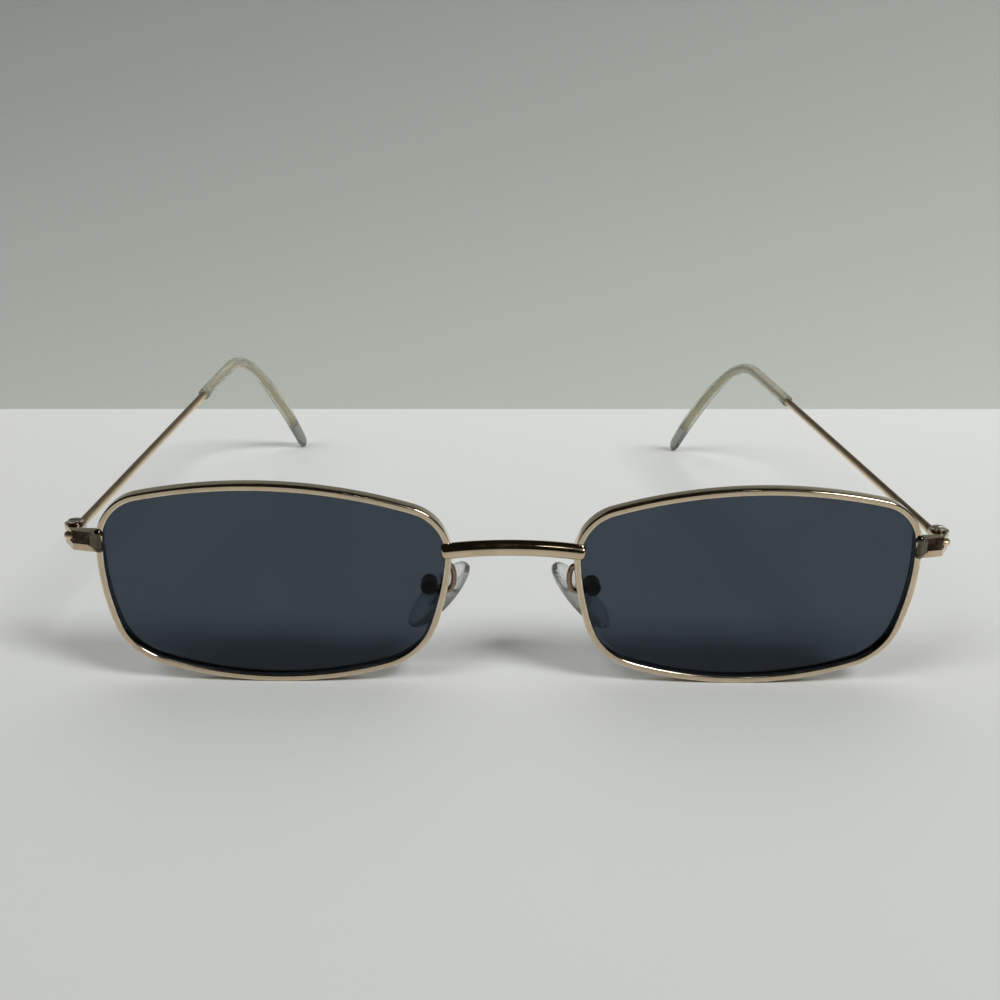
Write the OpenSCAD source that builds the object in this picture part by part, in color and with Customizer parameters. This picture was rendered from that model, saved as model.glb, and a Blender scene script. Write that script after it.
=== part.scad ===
// Sunglasses with a full-rim metal front, flat tinted lenses, clear nose pads and clear temple tips.
// Front faces -Y, temples run towards +Y, +X is to the right of someone who looks at the front.
// Left and right are the wearer's, so the left parts lie at +X. Millimetres, table at z = 0.

/* [Lens opening] */
// Width of the lens opening inside the rim lip
lens_w = 52.4; // [50:0.1:55]
// Height of the lens opening inside the rim lip
lens_h = 30.55; // [28:0.05:34]
// Distance between the two lens openings
lens_gap = 20.95; // [19:0.05:23]
// Distance from the nasal edge to the highest point of the top arc
top_peak = 29.8; // [26:0.1:33]
// Radius of the bowed top edge
top_r = 87.5; // [76:0.5:110]
// Distance from the nasal edge to the lowest point of the bottom arc
bottom_peak = 25.7; // [23:0.1:29]
// Radius of the bowed bottom edge
bottom_r = 59.5; // [52:0.5:68]
// Height of the widest point of the bowed temporal side above the opening's lowest point
side_level = 20.7; // [19.5:0.1:23]
// Radius of the temporal side
side_r = 36; // [33:0.5:44]
// Height of the innermost point of the nasal side above the opening's lowest point
nasal_level = 22.7; // [21:0.1:24]
// Radius of the nasal side
nasal_r = 44.4; // [39:0.2:50]
// Corner radius at the top temporal corner
corner_top_out_r = 6.5; // [5.8:0.1:7.2]
// Corner radius at the bottom temporal corner
corner_low_out_r = 9.7; // [8.8:0.1:11]
// Corner radius at the bottom nasal corner
corner_low_in_r = 10.6; // [9.5:0.1:11.5]
// Corner radius at the top nasal corner
corner_top_in_r = 7.2; // [6.5:0.1:8]

/* [Eyewire] */
// Width of the eyewire seen from the front
rim_w = 1.05; // [0.9:0.05:1.3]
// Depth of the eyewire from front to back
rim_depth = 2.6; // [2.4:0.1:3]
// Rounding of the eyewire's front edges
rim_front_round = 0.28; // [0.2:0.02:0.36]
// Rounding of the eyewire's back edges
rim_back_round = 0.16; // [0.1:0.02:0.24]
// Depth of the lens groove
groove_depth = 0.5; // [0.4:0.02:0.6]
// Half of the lens groove's width at its mouth
groove_half = 0.6; // [0.5:0.02:0.65]
// Distance by which the lips fall back towards the groove's mouth
lip_taper = 0.04; // [0.02:0.01:0.08]
// Distance of the groove's middle from the front of the eyewire
groove_y = 1.6; // [1.5:0.02:1.65]
// Width of the slit where the closing block closes the eyewire
rim_slit = 0.3; // [0.2:0.05:0.4]

/* [Lens] */
// Thickness of the lens
lens_t = 1.5; // [1.3:0.05:1.6]
// Clearance between the lens edge and its groove
lens_clear = 0.04; // [0.02:0.01:0.06]

/* [Bridge] */
// Diameter of the bridge bar
bridge_d = 2.5; // [2.2:0.1:2.8]
// Height that the bridge arches up in its middle
bridge_rise = 0.75; // [0.3:0.05:1.2]
// Height of the bridge's ends below the innermost point of the nasal side
bridge_drop = 1.65; // [1.2:0.05:2]
// Distance of the bar's axis behind the front of the eyewire
bridge_set = 0.1; // [0:0.05:0.3]
// Length that the bridge's ends reach past the eyewire's lip
bridge_past = 0.7; // [0.5:0.05:0.9]

/* [End piece and hinge] */
// Distance of the hinge's middle below the highest point of the lens opening
hinge_drop = 8.85; // [8.2:0.05:9.4]
// Distance of the hinge axis outside the lens opening
pivot_out = 5.65; // [5.55:0.05:5.75]
// Distance of the hinge axis behind the front of the eyewire
pivot_back = 6.6; // [6.5:0.05:6.8]
// Thickness of the upper hinge leaf
leaf_t = 0.8; // [0.75:0.05:0.95]
// Thickness of the lower hinge leaf and of the whole lower half of the end piece
low_leaf_t = 1.1; // [1.0:0.05:1.2]
// Radius of the leaves round the hinge axis
leaf_r = 1.65; // [1.6:0.05:1.8]
// Thickness of the temple's tongue between the leaves
tongue_t = 1.0; // [0.9:0.05:1.2]
// Clearance above and below the tongue
tongue_clear = 0.05; // [0.03:0.01:0.08]
// Radius of the tongue's eye
eye_r = 1.45; // [1.35:0.05:1.5]
// Radius of the tongue's stop nose
nose_r = 0.9; // [0.8:0.05:0.95]
// Distance of the stop nose's centre outside the hinge axis
nose_out = 0.35; // [0.3:0.05:0.45]
// Distance of the stop nose's centre in front of the hinge axis
nose_front = 2.25; // [2.2:0.05:2.35]
// Gap between the stop nose and its seat when the temple is open
stop_gap = 0.05; // [0.04:0.01:0.08]
// Distance of the block's front corner outside the lens opening
wall_out = 5.16; // [5.1:0.02:5.22]
// Distance of the block's outer front corner behind the front of the eyewire
wall_front = 2.5; // [2.3:0.05:2.6]
// Distance of the block's front face behind the front of the eyewire, at the rim
block_front = 1.2; // [1.1:0.05:1.4]
// Distance of the block's back behind the front of the eyewire
block_back = 4.1; // [3.9:0.05:4.2]
// Angle by which the front of the upper half leans back
front_lean = 12; // [6:1:15]
// Radius of the round lug that laps over the front of the eyewire
lug_r = 0.5; // [0.4:0.02:0.52]
// Height of the lug's lower end above the bottom of the lower half
lug_rise = 0.65; // [0.4:0.05:0.8]
// Radius of the round nub on top of the lug
nub_r = 0.7; // [0.6:0.02:0.8]
// Height of the nub's centre above the top of the end piece
nub_up = 0.6; // [0.4:0.05:0.7]
// Gap at the parting line between the two halves
part_gap = 0.1; // [0.06:0.02:0.14]
// Bevel under the front of the lower half
bevel = 0.4; // [0.3:0.05:0.5]
// Gap of brazing metal round the eyewire
braze = 0.02; // [0.01:0.01:0.04]

/* [Screws] */
// Shank diameter of the hinge screw
hinge_screw_d = 1.2; // [1.0:0.05:1.3]
// Head diameter of the hinge screw
hinge_head_d = 2.3; // [2.0:0.1:2.5]
// Head height of the hinge screw
hinge_head_h = 0.45; // [0.35:0.05:0.6]
// Radial clearance of the hinge screw in the leaves
leaf_clear = 0.02; // [0.01:0.01:0.03]
// Radial clearance of the hinge screw in the tongue
eye_clear = 0.04; // [0.03:0.01:0.06]
// Shank diameter of the closing screw
rim_screw_d = 1.0; // [0.9:0.05:1.1]
// Head diameter of the closing screw
rim_head_d = 1.7; // [1.5:0.05:1.8]
// Head height of the closing screw
rim_head_h = 0.45; // [0.35:0.05:0.5]
// Distance of the closing screw outside the lens opening
rim_screw_out = 2.5; // [2.4:0.05:2.6]
// Distance of the closing screw behind the front of the eyewire
rim_screw_back = 3.0; // [2.95:0.05:3.1]
// Metal left above the end of the closing screw
rim_screw_cover = 0.4; // [0.3:0.05:0.5]
// Width of the driver slots
slot_w = 0.28; // [0.22:0.02:0.34]
// Depth of the driver slots
slot_depth = 0.22; // [0.14:0.02:0.28]

/* [Temple] */
// Length of the temple along its middle line, from the hinge axis to the end of the tip
temple_l = 143; // [135:0.2:150]
// Length of its straight stretch, from the hinge axis to the ear bend
straight_l = 96.5; // [88:0.1:102]
// Distance of the wire's line outside the hinge axis
wire_out = 0.2; // [0.1:0.05:0.3]
// Angle that the straight stretch runs inwards
converge = 6; // [4:0.5:7]
// Radius of the ear bend
bend_r = 24.5; // [16:0.5:30]
// Turn of the ear bend
bend_turn = 45.5; // [36:0.5:50]
// Radius of the gentler curve behind the ear bend
drop_r = 61; // [50:1:90]
// Lean of the bend inwards from the vertical
bend_lean = 18; // [14:1:24]
// Diameter of the temple wire
wire_d = 1.4; // [1.3:0.05:1.45]
// Width of the tongue where it leaves the leaves
tongue_w = 1.5; // [1.4:0.05:1.6]
// Length of the flat tongue from the hinge axis
tongue_l = 3.6; // [3.4:0.05:4]
// Length over which the tongue turns into the round wire
root_l = 3; // [2:0.25:4]

/* [Temple tip] */
// Length of the tip
tip_l = 68; // [60:1:72]
// Diameter of the tip at its mouth
tip_d = 2.35; // [2.2:0.05:2.5]
// Width of the tip's paddle
paddle_w = 3.7; // [3.2:0.1:4.2]
// Thickness of the tip's paddle
paddle_t = 2.2; // [1.9:0.1:2.4]
// Length of the rounded end of the tip
tip_round = 2.4; // [1.8:0.1:3]
// Length of solid tip past the end of the bore
solid_end = 7; // [5:0.5:12]
// Radial clearance of the wire in the tip
tip_clear = 0.02; // [0.01:0.01:0.04]
// Empty length of bore past the end of the wire
tip_spare = 0.4; // [0.2:0.1:1]

/* [Nose pads] */
// Length of the nose pad
pad_l = 13.9; // [12.5:0.1:14.3]
// Width of the nose pad
pad_w = 7.2; // [6.6:0.1:7.6]
// Thickness of the nose pad
pad_t = 1.7; // [1.6:0.05:2]
// Share by which the pad's top is narrower than its middle
pad_egg = 0.06; // [0.02:0.02:0.2]
// Angle by which the pad's lower end splays outwards
pad_splay = 42; // [38:1:44]
// Angle by which the pad's back edge flares outwards
pad_flare = 20; // [14:1:24]
// Distance of the pad's centre from the middle of the front
pad_x = 11.5; // [11.4:0.05:11.6]
// Distance of the pad's centre behind the front of the eyewire
pad_y = 7.4; // [7.3:0.1:7.8]
// Height of the pad's centre above the table
pad_z = 12.1; // [11.9:0.05:12.3]

/* [Pad box, insert and screw] */
// Distance of the pad box's axis outside the pad's centre
box_out = 1.5; // [1.45:0.05:1.6]
// Height of the pad box's axis above the pad's centre
box_up = 2.35; // [2.3:0.05:2.45]
// Outer diameter of the pad box
box_d = 2.8; // [2.6:0.05:2.9]
// Length of the pad box from front to back
box_l = 2.4; // [2.2:0.05:2.6]
// Distance of the pad box's front behind the front of the eyewire
box_front = 4.7; // [4.6:0.05:4.9]
// Thickness of the insert's tab
tab_t = 0.9; // [0.8:0.05:1]
// Clearance on each side of the tab in the box
tab_clear = 0.05; // [0.03:0.01:0.08]
// Radius of the tab's eye
tab_r = 0.9; // [0.8:0.05:0.95]
// Width of the tab's neck
neck_w = 1.1; // [0.9:0.05:1.3]
// Length of the anchor plate inside the pad
anchor_l = 4; // [3:0.25:5]
// Width of the anchor plate inside the pad
anchor_w = 2.4; // [2:0.1:3]
// Thickness of the anchor plate inside the pad
anchor_t = 0.5; // [0.4:0.05:0.6]
// Shank diameter of the pad screw
pad_screw_d = 0.8; // [0.7:0.05:0.9]
// Head diameter of the pad screw
pad_head_d = 1.6; // [1.4:0.05:1.8]
// Head height of the pad screw
pad_head_h = 0.4; // [0.3:0.05:0.5]
// Radial clearance of the pad screw
pad_screw_clear = 0.03; // [0.02:0.01:0.05]
// Depth of the screw in the front wall of the box
pad_screw_grip = 0.5; // [0.4:0.05:0.6]
// Diameter of the pad arm's wire
arm_d = 0.9; // [0.8:0.05:1]
// Height of the pad arm's root above the pad box
arm_rise = 4.5; // [4:0.25:5]
// Distance by which the pad arm bows out towards the nose
arm_bow = 1.1; // [1:0.05:1.2]
// Distance of the pad arm's bow behind the front of the eyewire
arm_back = 3.3; // [3.25:0.05:3.4]

/* [Hidden] */

GOLD = "#d9bc84";
LENS = [0.22, 0.25, 0.29, 0.75];
CLEAR = [0.86, 0.88, 0.84, 0.6];
STEEL = "#b9b4aa";

// Steps along each side arc and each corner arc of the lens outline
side_steps = 10;
corner_steps = 9;
// Steps round the temple and round a nose pad
wire_steps = 10;
pad_steps = 20;
// Steps along the ear bend, the drop, the tip's rounded end and the nose pad
bend_steps = 8;
drop_steps = 9;
end_steps = 4;
pad_rings = 12;
// Steps along each rounded edge of the eyewire, and a small overlap for clean cuts
round_steps = 3;
cut = 1;
// Degrees of a full circle
circle_turn = 360;
$fn = 48;

// Edges of the left lens opening
inner_x = lens_gap / 2;
outer_x = inner_x + lens_w;
low_z = rim_w;
high_z = rim_w + lens_h;

// The four side arcs as [centre x, centre z, radius], clockwise from the top
top_arc = [inner_x + top_peak, high_z - top_r, top_r];
side_arc = [outer_x - side_r, low_z + side_level, side_r];
bottom_arc = [inner_x + bottom_peak, low_z + bottom_r, bottom_r];
nasal_arc = [inner_x + nasal_r, low_z + nasal_level, nasal_r];

// Arc of radius r that touches the side arcs a and b from inside
function corner(a, b, r) =
    let (d = [b.x - a.x, b.y - a.y], gap = norm(d),
         ra = a.z - r, rb = b.z - r,
         along = (ra * ra - rb * rb + gap * gap) / (2 * gap),
         out = sqrt(ra * ra - along * along))
    [a.x + (along * d.x + out * d.y) / gap, a.y + (along * d.y - out * d.x) / gap, r];

corner_top_out = corner(top_arc, side_arc, corner_top_out_r);
corner_low_out = corner(side_arc, bottom_arc, corner_low_out_r);
corner_low_in = corner(bottom_arc, nasal_arc, corner_low_in_r);
corner_top_in = corner(nasal_arc, top_arc, corner_top_in_r);

// Direction in which a corner arc touches a side arc
function touch(side, arc) = atan2(arc.y - side.y, arc.x - side.x);
// The same direction, counted on clockwise past an earlier one
function after(angle, earlier) = angle > earlier ? after(angle - circle_turn, earlier) : angle;

// Touching directions, clockwise from the top temporal corner
touch_0 = touch(top_arc, corner_top_out);
touch_1 = after(touch(side_arc, corner_top_out), touch_0);
touch_2 = after(touch(side_arc, corner_low_out), touch_1);
touch_3 = after(touch(bottom_arc, corner_low_out), touch_2);
touch_4 = after(touch(bottom_arc, corner_low_in), touch_3);
touch_5 = after(touch(nasal_arc, corner_low_in), touch_4);
touch_6 = after(touch(nasal_arc, corner_top_in), touch_5);
touch_7 = after(touch(top_arc, corner_top_in), touch_6);

// Heights of the hinge, its leaves and the parting line
leaf_gap = tongue_t + 2 * tongue_clear;
block_h = low_leaf_t + leaf_gap + leaf_t;
hinge_z = high_z - hinge_drop;
part_z = hinge_z - leaf_gap / 2;
block_low = part_z - low_leaf_t;
block_high = block_low + block_h;

// Points of an arc as [arc, direction], the last one left out
function arc_stations(arc, from, to, steps) =
    [for (i = [0 : steps - 1]) [arc, from + (to - from) * i / steps]];

// All stations round the opening, clockwise from the top temporal corner
stations = concat(
    arc_stations(corner_top_out, touch_0, touch_1, corner_steps),
    arc_stations(side_arc, touch_1, touch_2, side_steps / 2),
    arc_stations(corner_low_out, touch_2, touch_3, corner_steps),
    arc_stations(bottom_arc, touch_3, touch_4, side_steps),
    arc_stations(corner_low_in, touch_4, touch_5, corner_steps),
    arc_stations(nasal_arc, touch_5, touch_6, side_steps / 2),
    arc_stations(corner_top_in, touch_6, touch_7, corner_steps),
    arc_stations(top_arc, touch_7, touch_0 - circle_turn, side_steps)
);

// Point of the outline at a station, moved out by d
function edge(s, d) = [s[0].x + (s[0].z + d) * cos(s[1]), s[0].y + (s[0].z + d) * sin(s[1])];
function outline(d) = [for (s = stations) edge(s, d)];
// The outline as a ring of 3-D points at depth y
function outline_ring(d, y) = [for (p = outline(d)) [p.x, y, p.y]];

// Quarter of a circle about c, from one direction to the other
function bend_points(c, r, from, to) =
    [for (i = [0 : round_steps]) let (a = from + (to - from) * i / round_steps)
        c + r * [cos(a), sin(a)]];

// Section of the eyewire as [distance out from the lip, depth]
rim_profile = concat(
    bend_points([rim_front_round, rim_front_round], rim_front_round, 180, 270),
    bend_points([rim_w - rim_front_round, rim_front_round], rim_front_round, 270, 360),
    bend_points([rim_w - rim_back_round, rim_depth - rim_back_round], rim_back_round, 0, 90),
    bend_points([rim_back_round, rim_depth - rim_back_round], rim_back_round, 90, 180),
    [[lip_taper, groove_y + groove_half], [groove_depth, groove_y], [lip_taper, groove_y - groove_half]]
);

// Positions of the hinge, measured from the widest point of the lens opening
pivot = [outer_x + pivot_out, pivot_back];
stop_nose = pivot + [nose_out, -nose_front];
rim_screw_at = [outer_x + rim_screw_out, rim_screw_back];
front_corner = [outer_x + wall_out, wall_front];
// Middle of the eyewire's width at its widest point, where the plans of the block start
root_x = outer_x + rim_w / 2;

// Turn of the curve behind the ear bend, and of the whole path up to the tip's rounded end
drop_l = temple_l - tip_round - straight_l - bend_r * bend_turn * PI / 180;
full_turn = bend_turn + drop_l / drop_r * 180 / PI;

// Position and direction along the temple in its own plane, as [forward, towards the inside of the
// bend], after a distance from the hinge axis
function turn_at(distance) =
    distance < straight_l ? 0
    : min((distance - straight_l) / bend_r * 180 / PI,
          bend_turn + (distance - temple_l + tip_round + drop_l) / drop_r * 180 / PI);
function place_at(distance) =
    let (t = turn_at(distance), b = min(t, bend_turn))
    [min(distance, straight_l) + bend_r * sin(b) + drop_r * (sin(t) - sin(b)),
     bend_r * (1 - cos(b)) + drop_r * (cos(b) - cos(t))];
end_place = place_at(temple_l - tip_round);

// Axes of the temple for a rise of up degrees: forward, towards the inside of the bend, and sideways
function unit(v) = v / norm(v);
function forward(up) = [-sin(converge) * cos(up), cos(converge) * cos(up), sin(up)];
function inside(up) =
    cos(bend_lean) * [-sin(converge) * sin(up), cos(converge) * sin(up), -cos(up)]
    + sin(bend_lean) * [-cos(converge), -sin(converge), 0];
function across(up) = cross(forward(up), inside(up));
function along(up, t) = cos(t) * forward(up) + sin(t) * inside(up);

// Half extent along an axis of the rounded end of the tip
function end_reach(up, axis) =
    let (d = along(up, full_turn))
    norm([tip_round * d * axis, paddle_w / 2 * cross(across(up), d) * axis, paddle_t / 2 * across(up) * axis]);

// Rise of the temple that brings the end of the tip down to the table
function rise_from(up) =
    let (fall = end_place.y * cos(bend_lean))
    atan2(fall, end_place.x) + asin((end_reach(up, [0, 0, 1]) - hinge_z) / norm([end_place.x, fall]));
rise = rise_from(rise_from(rise_from(0)));

// Point and direction of the temple's middle line
wire_start = [pivot.x + wire_out, pivot.y, hinge_z];
wire_side = across(rise);
function wire_at(distance) =
    let (p = place_at(distance))
    wire_start + p.x * forward(rise) + p.y * inside(rise);
function wire_along(distance) = along(rise, turn_at(distance));
end_centre = wire_at(temple_l - tip_round);

// Distances of the rings along the bend and behind it
bend_at = [for (i = [0 : bend_steps]) straight_l + bend_r * bend_turn * PI / 180 * i / bend_steps];
drop_at = [for (i = [1 : drop_steps]) bend_at[bend_steps] + drop_l * i / drop_steps];

// The part's frame: origin under the middle of the whole object, on the table
front_reach = bridge_d / 2 - bridge_set;
back_reach = end_centre.y + end_reach(rise, [0, 1, 0]);
front_y = (front_reach - back_reach) / 2;

// Nose pad: centre, long axis (downwards), width axis (backwards) and thickness axis (outwards)
pad_centre = [pad_x, pad_y, pad_z];
pad_box_x = pad_x + box_out;
pad_box_z = pad_z + box_up;
pad_long = [sin(pad_splay), 0, -cos(pad_splay)];
pad_flat = unit([cos(pad_splay) * cos(pad_flare), -sin(pad_flare), sin(pad_splay) * cos(pad_flare)]);
pad_wide = cross(pad_long, pad_flat);
pad_down = unit(pad_long - (pad_long * pad_flat) * pad_flat);

// Depths of the pad box's walls, slot and screw
box_wall = (box_l - tab_t - 2 * tab_clear) / 2;
tab_front = box_front + box_wall + tab_clear;
box_back = box_front + box_l;

// Position on the nasal side of the lip at height z
function nasal_x(z) = nasal_arc.x - sqrt(nasal_r * nasal_r - pow(z - nasal_arc.y, 2));

// Route of the pad arm: root on the back of the eyewire, half an ellipse round towards the nose, and
// out to the front of the pad box
arm_root = [nasal_x(pad_box_z + arm_rise) - rim_w / 2, rim_depth + 3 * braze, pad_box_z + arm_rise];
bow_steps = 5;
arm_in = arm_d / 2;
arm_points = concat(
    [arm_root],
    [for (i = [1 : bow_steps]) let (a = 180 * i / bow_steps)
        [arm_root.x - arm_bow * sin(a), arm_back, pad_box_z + arm_rise * (1 + cos(a)) / 2]],
    [[pad_box_x - 4 * arm_in, arm_back, pad_box_z],
     [pad_box_x - arm_in, (arm_back + box_front) / 2 - braze, pad_box_z],
     [pad_box_x - arm_in, box_front, pad_box_z]]
);
// Steps along each stretch of the arm, its sides, and the direction its first side faces
arm_steps = 3;
arm_sides = 8;
arm_up = [0.3, 0.2, 1];

// Closed skin over a list of rings with equal numbers of points, capped at both ends, or a loop whose
// last ring joins the first. Each ring runs clockwise for someone who looks along the list
module skin(rings, loop = false) {
    n = len(rings);
    m = len(rings[0]);
    polyhedron(
        points = [for (r = rings) each r],
        faces = concat(
            loop ? [] : [[for (j = [m - 1 : -1 : 0]) j]],
            [for (i = [0 : n - (loop ? 1 : 2)], j = [0 : m - 1])
                let (k = (j + 1) % m, next = (i + 1) % n)
                [i * m + j, i * m + k, next * m + k]],
            [for (i = [0 : n - (loop ? 1 : 2)], j = [0 : m - 1])
                let (k = (j + 1) % m, next = (i + 1) % n)
                [i * m + j, next * m + k, next * m + j]],
            loop ? [] : [[for (j = [0 : m - 1]) (n - 1) * m + j]]
        )
    );
}

// Ellipse about c with half axes a along u and b along v
function ellipse(c, u, v, a, b, steps) =
    [for (i = [0 : steps - 1]) let (t = circle_turn * i / steps) c + a * cos(t) * u + b * sin(t) * v];

// Smooth step from 0 to 1
function ease(t) = let (s = min(max(t, 0), 1)) s * s * (3 - 2 * s);
function mix(a, b, t) = a + (b - a) * t;

// Block of the space that the eyewire fills, seen from the front, from depth y0 to y1
module outline_block(d, y0, y1) {
    translate([0, y1, 0])
        rotate([90, 0, 0])
            linear_extrude(y1 - y0)
                polygon(outline(d));
}

module rim() {
    color(GOLD)
        difference() {
            skin([for (s = stations) [for (q = rim_profile) let (p = edge(s, q.x)) [p.x, q.y, p.y]]],
                 loop = true);
            translate([outer_x - cut, -cut, part_z - rim_slit / 2])
                cube([rim_w + 2 * cut, rim_depth + 2 * cut, rim_slit]);
        }
}

module lens() {
    front = groove_y - lens_t / 2;
    back = groove_y + lens_t / 2;
    bevel_half = groove_half - lens_clear;
    color(LENS)
        skin([
            outline_ring(-lens_clear, back),
            outline_ring(-lens_clear, groove_y + bevel_half),
            outline_ring(groove_depth - 2 * lens_clear, groove_y),
            outline_ring(-lens_clear, groove_y - bevel_half),
            outline_ring(-lens_clear, front)
        ]);
}

module bridge() {
    half = inner_x + bridge_past;
    arch_r = (half * half + bridge_rise * bridge_rise) / (2 * bridge_rise);
    half_angle = asin((half + cut) / arch_r);
    end_z = nasal_arc.y - bridge_drop;
    seat_x = inner_x - rim_w - braze;
    color(GOLD)
        difference() {
            intersection() {
                translate([0, bridge_set, end_z + bridge_rise - arch_r])
                    rotate([90, 0, 0])
                        rotate_extrude(angle = 2 * half_angle, start = 90 - half_angle)
                            translate([arch_r, 0])
                                circle(d = bridge_d);
                translate([0, bridge_set, end_z])
                    sphere(r = half);
            }
            for (s = [-1, 1])
                translate([s > 0 ? seat_x : -seat_x - 2 * cut - rim_w, 0, end_z - bridge_d])
                    cube([2 * cut + rim_w, bridge_d, 2 * bridge_d]);
        }
}

// Step of the block's outer wall behind its front corner, and its back corner's distance inside the hinge axis
wall_step = [0.3, 0.9];
back_inset = 0.7;
// Plan of the solid block between the leaves
block_plan = [
    [root_x, block_front], front_corner,
    front_corner + wall_step, [pivot.x - back_inset, block_back], [root_x, block_back]
];
// Direction from the hinge axis in which the leaf's outer edge meets its round end
leaf_from = -15;
// Plan of a leaf: the block's front, round the hinge axis, and back to the rim
module leaf_plan() {
    polygon([
        [root_x, block_front], front_corner,
        pivot + leaf_r * [cos(leaf_from), sin(leaf_from)], pivot - [leaf_r, 0],
        [pivot.x - leaf_r, block_back], [root_x, block_back]
    ]);
    translate(pivot)
        circle(r = leaf_r);
}

// Angle of the block's front seen from above
front_slant = atan2(wall_front - block_front, wall_out - rim_w / 2);
// Round lug over the front of the eyewire that runs into the block's front
module lug(z0, z1) {
    hull()
        for (out = [0, rim_w + lug_r])
            translate([root_x + out, out > 0 ? block_front + lug_r : 0, z0])
                cylinder(r = lug_r, h = z1 - z0);
}

// One half of the end piece, from z0 to z1, with its leaf of thickness t from leaf_z
module end_half(z0, z1, leaf_z, t) {
    difference() {
        union() {
            translate([0, 0, leaf_z])
                linear_extrude(t)
                    leaf_plan();
            translate([0, 0, z0])
                linear_extrude(z1 - z0)
                    difference() {
                        polygon(block_plan);
                        translate(stop_nose)
                            circle(r = nose_r + stop_gap);
                    }
            children();
        }
        outline_block(rim_w + braze, 0, block_back + cut);
        outline_block(0, -rim_depth, 0);
        translate([pivot.x, pivot.y, block_low - cut])
            cylinder(d = hinge_screw_d + 2 * leaf_clear, h = block_h + 2 * cut);
    }
}

module end_piece() {
    color(GOLD)
        difference() {
            end_half(part_z + part_gap / 2, block_high, block_high - leaf_t, leaf_t) {
                lug(part_z + part_gap / 2, block_high);
                translate([root_x, 0, part_z + part_gap / 2])
                    cylinder(r = lug_r, h = block_high + nub_up - part_z - part_gap / 2);
                translate([root_x, 0, block_high + nub_up])
                    sphere(r = nub_r);
            }
            translate([rim_screw_at.x, rim_screw_at.y, part_z - cut])
                cylinder(d = rim_screw_d + 2 * leaf_clear, h = block_high - rim_screw_cover - part_z + cut);
            translate([root_x, block_front, part_z])
                rotate([0, 0, front_slant])
                    translate([rim_w + lug_r, 0, 0])
                        rotate([-front_lean, 0, 0])
                            translate([0, -2 * wall_out, 0])
                                cube([2 * wall_out, 2 * wall_out, 2 * block_h]);
        }
}

module rim_lock() {
    color(GOLD)
        difference() {
            end_half(block_low, part_z - part_gap / 2, block_low, low_leaf_t - part_gap / 2)
                lug(block_low + lug_rise, part_z - part_gap / 2);
            translate([rim_screw_at.x, rim_screw_at.y, block_low - cut]) {
                cylinder(d = rim_screw_d + 2 * leaf_clear, h = low_leaf_t + 2 * cut);
                cylinder(d = rim_head_d + 2 * leaf_clear, h = cut + rim_head_h);
            }
            translate([root_x, block_front, block_low])
                rotate([0, 0, front_slant])
                    translate([rim_w + lug_r, 0, 0])
                        rotate([45, 0, 0])
                            translate([0, -bevel, -bevel * sqrt(2) / 2])
                                cube([2 * wall_out, bevel * 2, bevel * sqrt(2) / 2]);
        }
}

// Empty length of thread past the end of the closing screw
screw_end_gap = 0.05;

// Slotted screw: head on the plane z = 0, shank of length l below it
module screw(shank_d, head_d, head_h, l) {
    color(STEEL)
        difference() {
            union() {
                cylinder(d = head_d, h = head_h);
                translate([0, 0, -l])
                    cylinder(d = shank_d, h = l + head_h / 2);
            }
            translate([-head_d, -slot_w / 2, head_h - slot_depth])
                cube([2 * head_d, slot_w, slot_depth + cut]);
        }
}

module hinge_screw() {
    translate([pivot.x, pivot.y, block_high])
        screw(hinge_screw_d, hinge_head_d, hinge_head_h, block_h);
}

module rim_screw() {
    translate([rim_screw_at.x, rim_screw_at.y, block_low + rim_head_h])
        rotate([180, 0, 0])
            screw(rim_screw_d, rim_head_d, rim_head_h,
                  block_h - rim_head_h - rim_screw_cover - screw_end_gap);
}

// Ring of the temple at a distance from the hinge axis, w wide and t thick
function wire_ring(distance, w, t) =
    ellipse(wire_at(distance), wire_side, cross(wire_side, wire_along(distance)), t / 2, w / 2, wire_steps);

// Length of the wire's root inside the tongue, and how much wider than the tongue its mouth is
root_in = 0.7;
root_skin = 0.1;
core_end = temple_l - solid_end - tip_spare;

module temple() {
    color(GOLD) {
        difference() {
            translate([pivot.x, pivot.y, hinge_z - tongue_t / 2])
                linear_extrude(tongue_t)
                    union() {
                        hull() {
                            circle(r = eye_r);
                            translate([nose_out, -nose_front])
                                circle(r = nose_r);
                        }
                        translate([wire_out, 0])
                            rotate(converge)
                                translate([-tongue_w / 2, 0])
                                    square([tongue_w, tongue_l]);
                    }
            translate([pivot.x, pivot.y, hinge_z - tongue_t])
                cylinder(d = hinge_screw_d + 2 * eye_clear, h = 2 * tongue_t);
        }
        skin(concat(
            [wire_ring(tongue_l - root_in, tongue_t - root_skin, tongue_w - root_skin)],
            [wire_ring(tongue_l, tongue_t + root_skin, tongue_w + root_skin)],
            [wire_ring(tongue_l + root_l, wire_d, wire_d)],
            [for (d = bend_at) wire_ring(d, wire_d, wire_d)],
            [for (d = drop_at) if (d < core_end) wire_ring(d, wire_d, wire_d)],
            [wire_ring(core_end, wire_d, wire_d)]
        ));
    }
}

// Share of the drop over which the tip widens to its full paddle
paddle_share = 0.75;
// Width of the tip between its mouth size a and its paddle size b, at a distance from the hinge axis
function tip_size(a, b, distance) =
    mix(a, b, ease((distance - bend_at[bend_steps]) / (paddle_share * drop_l)));

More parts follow.
